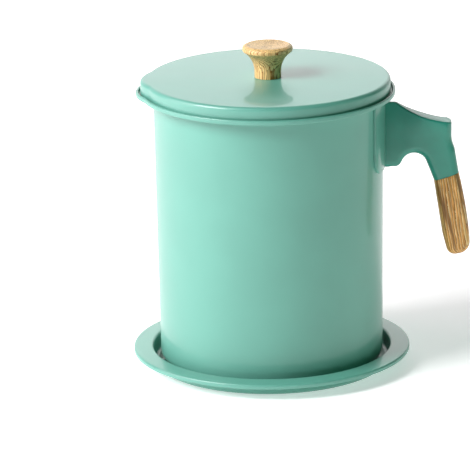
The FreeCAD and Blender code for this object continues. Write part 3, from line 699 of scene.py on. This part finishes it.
def oiled_acacia(name, pith, turn, ring_spacing, streaks, sapwood):
    """Acacia, cut and turned, with a satin oil finish.

    Annual rings run round a pith line that lies beside the piece, so a flat side shows long
    streaks and a turned neck shows arches. Fibres along the grain are 0.7 mm wide and dark
    streaks 3 mm; the more sapwood, the paler the wood between the rings.
    """
    pale, dark = tint_of("wood_pale"), tint_of("wood_dark")
    mid = tuple(tan + (light - tan) * sapwood for tan, light in zip(tint_of("wood_mid"), pale))
    material, tree, place = new_material(name)
    grain = add(tree, "ShaderNodeMapping",
                {"Vector": place, "Location": pith, "Rotation": turn}, vector_type="TEXTURE")
    slow = add(tree, "ShaderNodeMapping", {"Vector": grain, "Scale": (1, 1, 0.09)})
    waver = add(tree, "ShaderNodeTexNoise",
                {"Vector": slow, "Scale": per_metre(6), "Detail": 5.0, "Roughness": 0.62})
    shift = add(tree, "ShaderNodeVectorMath",
                {0: waver.outputs["Color"], 1: (3.2 * MM, 3.2 * MM, 0)}, operation="MULTIPLY")
    bent = add(tree, "ShaderNodeVectorMath", {0: grain, 1: shift}, operation="ADD")
    rings = add(tree, "ShaderNodeTexWave",
                {"Vector": bent, "Scale": waves_per_metre(ring_spacing), "Distortion": 0.8,
                 "Detail": 3.0, "Detail Scale": 2.0},
                wave_type="RINGS", rings_direction="Z", wave_profile="SAW")
    thin = add(tree, "ShaderNodeMapping", {"Vector": grain, "Scale": (1, 1, 0.07)})
    fibres = add(tree, "ShaderNodeTexNoise",
                 {"Vector": thin, "Scale": per_metre(0.7), "Detail": 4.0, "Roughness": 0.65})
    patches = add(tree, "ShaderNodeTexNoise",
                  {"Vector": thin, "Scale": per_metre(3.2), "Detail": 3.0, "Roughness": 0.6})
    ringed = add(tree, "ShaderNodeValToRGB", {"Fac": rings.outputs["Fac"]}, easing="LINEAR",
                 stops=((0.0, pale), (0.35, mid), (0.62, mid), (0.86, shade(dark, 1.6)),
                        (0.94, shade(dark, 1.2)), (1.0, pale)))
    streaked = add(tree, "ShaderNodeMapRange",
                   {"Value": patches, "From Min": 0.52, "From Max": 0.64, "To Max": streaks})
    body = add(tree, "ShaderNodeMix",
               {"Factor": streaked, "A": ringed, "B": (*dark, 1)}, data_type="RGBA")
    fine = add(tree, "ShaderNodeMapRange", {"Value": fibres, "From Min": 0.3, "From Max": 0.7,
                                            "To Min": 0.62, "To Max": 1.22})
    tone = add(tree, "ShaderNodeVectorMath", {0: body, "Scale": fine}, operation="SCALE")
    bump = add(tree, "ShaderNodeBump",
               {"Height": fibres, "Distance": 0.04 * MM, "Strength": 0.4})
    finish_material(tree, Base_Color=tone, Roughness=0.5, IOR=1.5, Normal=bump,
                    Coat_Weight=0.2, Coat_Roughness=0.2)
    return material


def brushed_stainless():
    """Stainless steel pressed from brushed sheet: the lines of the brush blur its highlights."""
    material, tree, place = new_material("brushed_stainless")
    lines = add(tree, "ShaderNodeMapping", {"Vector": place, "Scale": (0.02, 1, 1)})
    brush = add(tree, "ShaderNodeTexNoise",
                {"Vector": lines, "Scale": per_metre(0.4), "Detail": 2.0})
    tint = tint_of("steel")
    tone = add(tree, "ShaderNodeValToRGB", {"Fac": brush},
               stops=((0.3, shade(tint, 0.88)), (0.7, tint)))
    rough = add(tree, "ShaderNodeMapRange", {"Value": brush, "To Min": 0.24, "To Max": 0.42})
    bump = add(tree, "ShaderNodeBump",
               {"Height": brush, "Distance": 0.01 * MM, "Strength": 0.3})
    finish_material(tree, Base_Color=tone, Metallic=1.0, Roughness=rough, Normal=bump)
    return material


def turned_metal(name, tint):
    """Bar stock turned on a lathe: the tool leaves fine rings 0.3 mm apart."""
    material, tree, place = new_material(name)
    wave = add(tree, "ShaderNodeTexWave",
               {"Vector": place, "Scale": waves_per_metre(0.3), "Distortion": 1.0},
               wave_type="BANDS", bands_direction="Z")
    rings = wave.outputs["Fac"]
    tone = add(tree, "ShaderNodeValToRGB", {"Fac": rings},
               stops=((0.0, shade(tint, 0.86)), (1.0, tint)))
    rough = add(tree, "ShaderNodeMapRange", {"Value": rings, "To Min": 0.2, "To Max": 0.34})
    bump = add(tree, "ShaderNodeBump",
               {"Height": rings, "Distance": 0.01 * MM, "Strength": 0.3})
    finish_material(tree, Base_Color=tone, Metallic=1.0, Roughness=rough, Normal=bump)
    return material


def lit_acrylic():
    """Opal acrylic sheet lit from below, which thins the shadows: a barely visible 2 mm mottle."""
    material, tree, place = new_material("lit_acrylic")
    tooth = add(tree, "ShaderNodeTexNoise", {"Vector": place, "Scale": per_metre(2)})
    tint = tint_of("floor")
    tone = add(tree, "ShaderNodeValToRGB", {"Fac": tooth},
               stops=((0.3, shade(tint, 0.99)), (0.7, tint)))
    finish_material(tree, Base_Color=tone, Roughness=0.9, IOR=1.4,
                    Emission_Color=WHITE, Emission_Strength=0.42)
    return material


# --- studio ---

# Soft lights: name, place and size in millimetres, power in watts and colour. The left one is a
# trace warmer and the fill on the right a trace cooler, as through a studio's coloured walls.
LIGHTS = (
    ("key_softbox", (-1550, -850, 1500), (1100, 1100), 60, "FFFFFF"),
    ("left_softbox", (-1300, -200, 600), (1400, 1200), 14.5, "FFD8E6"),
    ("right_fill", (1700, -300, 700), (1200, 1400), 4, "A9FFDA"),
    ("rear_softbox", (0, 2200, 1200), (2400, 1600), 10, "FFFFFF"),
)


def add_softbox(name, place, size, power, tint):
    """A rectangular light that faces the middle of the container."""
    deselect()
    aim = Vector((0, 0, (CAD_LOW.z + CAD_HIGH.z) / 2)) - place
    bpy.ops.object.light_add(type="AREA", location=place,
                             rotation=aim.to_track_quat("-Z", "Y").to_euler())
    light = bpy.context.object
    light.name = light.data.name = name
    light.data.shape = "RECTANGLE"
    light.data.size = size.x
    light.data.size_y = size.y
    light.data.energy = power
    light.data.color = linear(tint)


def add_camera(context, studio):
    deselect()
    bpy.ops.object.camera_add()
    camera = context.object
    camera.name = camera.data.name = "product_camera"
    camera.data.lens = studio.focal_length
    camera.matrix_world = (Matrix.Translation((0, -studio.camera_away, studio.camera_up))
                           @ Matrix.Rotation(-studio.yaw, 4, "Z")
                           @ Matrix.Rotation(math.pi / 2 - studio.pitch, 4, "X")
                           @ Matrix.Rotation(studio.roll, 4, "Z"))
    context.scene.camera = camera


# --- operators ---

class CONTAINER_OT_tray(bpy.types.Operator):
    """Turns the drip tray with its well, flat flange and rolled lip"""
    bl_idname = "container.tray"
    bl_label = "Drip Tray"

    def execute(self, context):
        size = context.scene.container_tray
        outer_wall = size.well_radius + size.sheet
        lip_top = size.height - size.flange_fall
        lip_inner = size.lip_radius - size.lip_width
        lip_low = lip_top - size.lip_depth
        dish = turn_profile("tray_dish", rounded([
            (0, 0),
            (outer_wall, 0, size.corner_round + size.sheet),
            (outer_wall, size.height - size.sheet, size.sheet / 2),
            (lip_inner, lip_top - size.sheet, size.sheet / 2),
            (lip_inner, lip_low, size.lip_width / 3),
            (size.lip_radius, lip_low, size.lip_width / 3),
            (size.lip_radius, lip_top, size.lip_round),
            (size.well_radius, size.height, size.edge_round),
            (size.well_radius, size.sheet, size.corner_round),
            (0, size.sheet),
        ]))
        finish_piece(dish, "tray_base_body", enamel(), ["tray"])
        return {"FINISHED"}


class CONTAINER_OT_pot(bpy.types.Operator):
    """Turns the cup with its foot ring, ledge and rim, and draws out the pouring nose"""
    bl_idname = "container.pot"
    bl_label = "Pot"

    def execute(self, context):
        size = context.scene.container_pot
        recess = size.base_radius - size.foot_width
        bottom = size.floor + size.foot_rise
        ledge_low = size.ledge_top - size.ledge_sheet
        rim_inner = size.rim_radius - size.rim_width
        cup = turn_profile("pot_cup", rounded([
            (0, bottom),
            (recess, bottom, size.foot_rise),
            (recess + size.foot_rise, size.floor, size.foot_rise),
            (size.base_radius, size.floor, size.corner_round),
            (wall_radius(size, ledge_low), ledge_low, size.ledge_round),
            (size.rim_radius, ledge_low, size.rim_round),
            (size.rim_radius, size.rim_top, size.rim_round),
            (rim_inner, size.rim_top, size.rim_round),
            (rim_inner, size.ledge_top, size.rim_round),
            (size.mouth_radius - size.sheet, size.ledge_top, size.sheet / 2),
            (size.base_radius - size.sheet, size.floor + size.sheet,
             size.corner_round - size.sheet),
            (recess + size.foot_rise, size.floor + size.sheet),
            (recess, bottom + size.sheet),
            (0, bottom + size.sheet),
        ]))
        beyond_wall = (size.mouth_radius + rim_inner) / 2
        draw_out_nose(cup, size, beyond_wall, from_height=ledge_low - size.ledge_round / 2)
        finish_piece(cup, "pot", enamel(), ["pot_body"])
        return {"FINISHED"}


class CONTAINER_OT_bracket(bpy.types.Operator):
    """Wraps the saddle plate round the wall and sets its tongue into the arm's root"""
    bl_idname = "container.bracket"
    bl_label = "Saddle Plate"

    def execute(self, context):
        size = context.scene.container_bracket
        pot = context.scene.container_pot
        half = size.spread / 2
        middle_radius = wall_radius(pot, size.bottom)
        corner_turn = size.corner_round / middle_radius
        flat_steps = 40
        corner_steps = 12
        stations = []
        for step in range(corner_steps):
            turn = math.pi / 2 * step / corner_steps
            rise = size.corner_round * (1 - math.sin(turn))
            stations.append((-half + corner_turn * (1 - math.cos(turn)), rise))
        for step in range(flat_steps + 1):
            share = 2 * step / flat_steps - 1
            stations.append(((half - corner_turn) * share, 0.0))
        stations += [(-around, rise) for around, rise in reversed(stations[:corner_steps])]

        def on_wall(around, level):
            radius = wall_radius(pot, level) + size.weld_gap
            return Vector((radius * math.cos(around), radius * math.sin(around), level))
        lower = [on_wall(around, size.bottom + rise) for around, rise in stations]
        upper = [on_wall(around, size.top) for around, _ in stations]
        plate = start_outline("saddle_plate", lower[0])
        draw_on(lower)
        select_whole()
        lift = upper[0] - lower[0]
        extrude_by((0, 0, lift.z))
        seat_upper_edge(plate, lower, upper, lift.z)
        select_only(plate)
        wall = plate.modifiers.new("sheet", "SOLIDIFY")
        wall.thickness = size.sheet
        wall.offset = 1.0
        bpy.ops.object.modifier_apply(modifier=wall.name)
        set_mode("EDIT")
        face_outwards()
        select_where(plate, "EDGE", lambda edge: sharp(edge)
                     and edge_middle(edge).xy.length > middle_radius + size.sheet)
        bevel_selected(size.edge_round, segments=3)
        add_tongue(plate, size, pot)
        finish_piece(plate, "pot", enamel(), ["handle_bracket"])
        return {"FINISHED"}


class CONTAINER_OT_arm(bpy.types.Operator):
    """Extrudes the moulded arm, rounds its side edges and narrows it to a ridge at its root"""
    bl_idname = "container.arm"
    bl_label = "Moulded Arm"

    def execute(self, context):
        size = context.scene.container_arm
        grip = context.scene.container_grip
        half_grip = grip.thickness / 2
        seam_inner = grip_point(grip, -half_grip, 0)
        seam_outer = grip_point(grip, half_grip, grip.seam_rise)
        brow = Vector((size.brow_out, size.brow_up))
        crest = Vector((size.crest_out, size.crest_up))
        chord = (crest - brow).length
        hollow = size.top_hollow - math.sqrt(size.top_hollow ** 2 - chord ** 2 / 4)
        top_face = bow(brow, crest, hollow, steps=14)
        arm = extrude_outline("moulded_arm", rounded([
            (size.root_out, size.foot_up),
            (size.toe_out, size.foot_up, size.toe_round),
            (size.arch_out, size.arch_up, size.arch_round),
            tuple(seam_inner),
            tuple(seam_outer),
            (size.flare_out, size.flare_up, size.flare_round),
            (size.waist_out, size.waist_up, size.waist_round),
            *top_face[:-1],
            (*top_face[-1], size.crest_round),
            (size.root_out, size.crest_up),
        ]), size.width)

        seam_level = seam_outer.y
        column = (seam_inner.x + seam_outer.x) / 2
        aside = half_grip / 3

        def side_edge(edge):
            across = abs(edge.verts[0].co.y - edge.verts[1].co.y)
            middle = edge_middle(edge)
            if across > TOLERANCE or middle.x < size.root_out + TOLERANCE:
                return False
            outer = (middle.x > column + aside
                     and seam_level < middle.z < size.brow_up - TOLERANCE)
            under = middle.x < column - aside and middle.z < size.arch_up
            return outer or under
        select_where(arm, "EDGE", side_edge)
        bevel_selected(size.edge_round, segments=7)

        for corner in top_face[1:-1]:
            cut_across(corner[0], (1, 0, 0))
        bands = 6
        for band in range(1, bands):
            cut_across(size.foot_up + (size.brow_up - size.foot_up) * band / bands, (0, 0, 1))
        narrow_flanks(arm, size)

        def top_edge(edge):
            middle = edge_middle(edge)
            above = middle.z > size.brow_up - MM and middle.x > size.root_out + MM
            return above and sharp(edge)
        select_where(arm, "EDGE", top_edge)
        bevel_selected(size.top_round, segments=4)
        set_mode("OBJECT")
        screw_low, screw_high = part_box("handle_screw")
        mouth = Vector(((screw_low.x + screw_high.x) / 2, 0, size.foot_up))
        cut_recess(arm, mouth, Vector((0, 0, 1)), grip.recess_radius, grip.recess_depth)
        finish_piece(arm, "pot", moulded_nylon(), ["handle_arm"])
        return {"FINISHED"}


class CONTAINER_OT_grip(bpy.types.Operator):
    """Extrudes the wooden grip, rounds its edges and sinks the recess for its screw"""
    bl_idname = "container.grip"
    bl_label = "Wooden Grip"

    def execute(self, context):
        size = context.scene.container_grip
        half = size.thickness / 2
        end = -size.length
        inner_end = Vector((-half + size.inner_tuck, end))
        outer_end = Vector((half, end))
        outer_top = Vector((half, size.seam_rise))
        outer_side = bow(outer_end, outer_top, -size.bulge, steps=8)
        bend_round = 4 * size.outer_round
        corners = [
            (-half, 0.0),
            (-half + size.inner_lean, end + size.inner_bend, bend_round),
            (*inner_end, size.inner_round),
            (*outer_end, size.outer_round),
            *outer_side[2:],
        ]
        grip = extrude_outline("wooden_grip", [
            grip_point(size, *point) for point in rounded(corners)], size.width)
        along = grip_axis(size)

        def long_edge(edge):
            across = abs(edge.verts[0].co.y - edge.verts[1].co.y)
            heights = [height_in_grip(size, corner.co) for corner in edge.verts]
            return across < TOLERANCE and min(heights) < -TOLERANCE
        select_where(grip, "EDGE", long_edge)
        bevel_selected(size.edge_round, segments=8)

        def seam_edge(edge):
            heights = [height_in_grip(size, corner.co) for corner in edge.verts]
            return min(heights) > -TOLERANCE and sharp(edge)
        select_where(grip, "EDGE", seam_edge)
        bevel_selected(size.seam_round, segments=3)
        set_mode("OBJECT")
        mouth = in_plane(grip_point(size, 0, end))
        cut_recess(grip, mouth, along, size.recess_radius, size.recess_depth)
        wood = oiled_acacia("oiled_grip_wood", pith=(size.out - 7 * MM, 7 * MM, size.up),
                            turn=(0.04, -size.tilt - 0.05, 0), ring_spacing=0.8, streaks=0.85,
                            sapwood=0.0)
        finish_piece(grip, "pot", wood, ["handle_grip"], smooth=SMOOTH_WOOD)
        return {"FINISHED"}


class CONTAINER_OT_lid(bpy.types.Operator):
    """Turns the flat lid with its skirt, and draws it out over the pouring nose"""
    bl_idname = "container.lid"
    bl_label = "Lid"

    def execute(self, context):
        size = context.scene.container_lid
        pot = context.scene.container_pot
        inner = size.radius - size.sheet
        under = size.top - size.sheet
        cover = turn_profile("lid_cover", rounded([
            (size.hole_radius, under),
            (inner, under, size.edge_round - size.sheet),
            (inner, pot.ledge_top, size.skirt_round),
            (size.radius, pot.ledge_top, size.skirt_round),
            (size.radius, size.top, size.edge_round),
            (size.hole_radius, size.top),
        ]))
        flat_radius = inner - 2 * size.edge_round
        draw_out_nose(cover, pot, flat_radius, from_height=pot.ledge_top - MM)
        finish_piece(cover, "lid", enamel(), ["lid_shell"])
        return {"FINISHED"}


class CONTAINER_OT_knob(bpy.types.Operator):
    """Turns the wooden knob with its trumpet neck and dished top"""
    bl_idname = "container.knob"
    bl_label = "Wooden Knob"

    def execute(self, context):
        size = context.scene.container_knob
        foot = context.scene.container_lid.top
        crest = Vector((size.crest_radius, foot + size.height))
        dish = Vector((0, crest.y - size.dish_depth))
        dish_corners = bow(crest, dish, size.dish_depth / 4, steps=8)
        knob = turn_profile("turned_knob", rounded([
            (size.bore_radius, foot),
            (size.base_radius, foot, size.foot_round),
            (size.base_radius, foot + size.neck_height, size.neck_round),
            (size.head_radius, foot + size.shoulder_height, size.edge_round),
            (size.head_radius, foot + size.brow_height, size.edge_round),
            (*dish_corners[0], size.edge_round),
            *dish_corners[1:],
            (0, foot + size.bore_depth),
            (size.bore_radius, foot + size.bore_depth),
        ]))
        wood = oiled_acacia("turned_knob_wood", pith=(-4 * MM, 9 * MM, foot),
                            turn=(0, 0.12, 0), ring_spacing=0.8, streaks=0.4, sapwood=0.75)
        finish_piece(knob, "lid", wood, ["lid_knob"], smooth=SMOOTH_WOOD)
        return {"FINISHED"}


class CONTAINER_OT_fittings(bpy.types.Operator):
    """Gives the strainer, screws, washer and insert their metal finishes"""
    bl_idname = "container.fittings"
    bl_label = "Strainer and Fittings"

    def execute(self, context):
        stainless = brushed_stainless()
        steel = turned_metal("zinc_plated_steel", tint_of("steel"))
        brass = turned_metal("turned_brass", tint_of("brass"))
        finishes = {
            "strainer_rim": stainless,
            "strainer_screen": stainless,
            "strainer_ring": stainless,
            "handle_screw": steel,
            "grip_screw": steel,
            "knob_screw": steel,
            "knob_washer": steel,
            "knob_insert": brass,
        }
        for node, material in finishes.items():
            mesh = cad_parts[node].data
            mesh.materials.clear()
            mesh.materials.append(material)
        return {"FINISHED"}


class CONTAINER_OT_stage(bpy.types.Operator):
    """Sets up the acrylic floor, the soft lights, the white surround and the camera"""
    bl_idname = "container.stage"
    bl_label = "Stage"

    def execute(self, context):
        studio = context.scene.container_studio
        deselect()
        bpy.ops.mesh.primitive_plane_add(size=studio.floor_size,
                                         location=(0, 0, -studio.floor_gap))
        floor = context.object
        floor.name = floor.data.name = "acrylic_floor"
        select_only(floor)
        set_mode("EDIT")
        rear = studio.floor_size / 3
        backdrop_height = studio.floor_size / 2
        fold_round = studio.floor_size / 8
        select_where(floor, "EDGE", lambda edge: edge_middle(edge).y > rear)
        extrude_by((0, 0, backdrop_height))
        select_where(floor, "EDGE", sharp)
        bevel_selected(fold_round, segments=12)
        set_mode("OBJECT")
        bpy.ops.object.shade_smooth()
        floor.data.materials.append(lit_acrylic())

        world = bpy.data.worlds.new("white_surround")
        context.scene.world = world
        world.use_nodes = True
        background = world.node_tree.nodes["Background"]
        background.inputs["Color"].default_value = WHITE
        background.inputs["Strength"].default_value = studio.surround
        for name, place, size, power, tint in LIGHTS:
            add_softbox(name, Vector(place) * MM, Vector(size) * MM, power, tint)
        add_camera(context, studio)
        context.scene.view_settings.view_transform = "Standard"
        context.scene.view_settings.look = "None"
        return {"FINISHED"}


# --- panel and registration ---

STEPS = (
    CONTAINER_OT_tray,
    CONTAINER_OT_pot,
    CONTAINER_OT_bracket,
    CONTAINER_OT_arm,
    CONTAINER_OT_grip,
    CONTAINER_OT_lid,
    CONTAINER_OT_knob,
    CONTAINER_OT_fittings,
    CONTAINER_OT_stage,
)


class CONTAINER_PT_steps(bpy.types.Panel):
    """Lists the steps that model, finish and stage the container"""
    bl_idname = "CONTAINER_PT_steps"
    bl_label = "Grease Container"
    bl_space_type = "VIEW_3D"
    bl_region_type = "UI"
    bl_category = "Container"

    def draw(self, context):
        for step in STEPS:
            self.layout.operator(step.bl_idname)


def register():
    for item in (*SIZE_GROUPS.values(), *STEPS, CONTAINER_PT_steps):
        bpy.utils.register_class(item)
    for name, group in SIZE_GROUPS.items():
        setattr(bpy.types.Scene, name, PointerProperty(type=group))


def unregister():
    for name in SIZE_GROUPS:
        delattr(bpy.types.Scene, name)
    for item in reversed((*SIZE_GROUPS.values(), *STEPS, CONTAINER_PT_steps)):
        bpy.utils.unregister_class(item)


def main():
    register()
    for step in STEPS:
        category, name = step.bl_idname.split(".")
        getattr(getattr(bpy.ops, category), name)()


if __name__ == "__main__":
    main()
